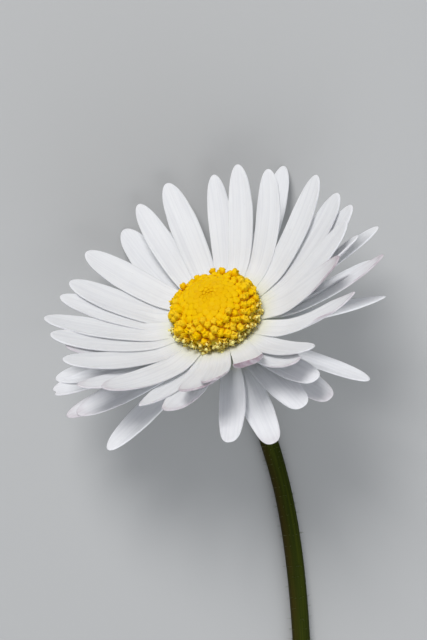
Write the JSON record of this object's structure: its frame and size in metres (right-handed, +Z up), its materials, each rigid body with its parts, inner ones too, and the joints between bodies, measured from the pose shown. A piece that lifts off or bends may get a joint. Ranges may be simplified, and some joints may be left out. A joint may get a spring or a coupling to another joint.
{
  "type": "daisy flower",
  "caption": "Picked daisy lying down: long white rays in layers round a domed yellow disc, green bracts below and a bent green stem with a cut end.",
  "frame": {"origin": "middle of the whole flower's footprint, on the surface that it lies on", "axes": "+Y along the lying stem towards the head, +Z up from the surface"},
  "size_m": [0.0274, 0.0549, 0.0196],
  "materials": {
    "ray_petal": "white petal, soft and matt with fine lengthwise veins",
    "disc_floret": "golden yellow florets, matt",
    "green_bract": "dull green bract",
    "green_stem": "olive green stem, faintly glossy and finely haired"
  },
  "bodies": {
    "root": {"ray_florets": "ray_petal", "disc_florets": "disc_floret", "involucre": "green_bract", "stem": "green_stem"}
  },
  "joints": []
}
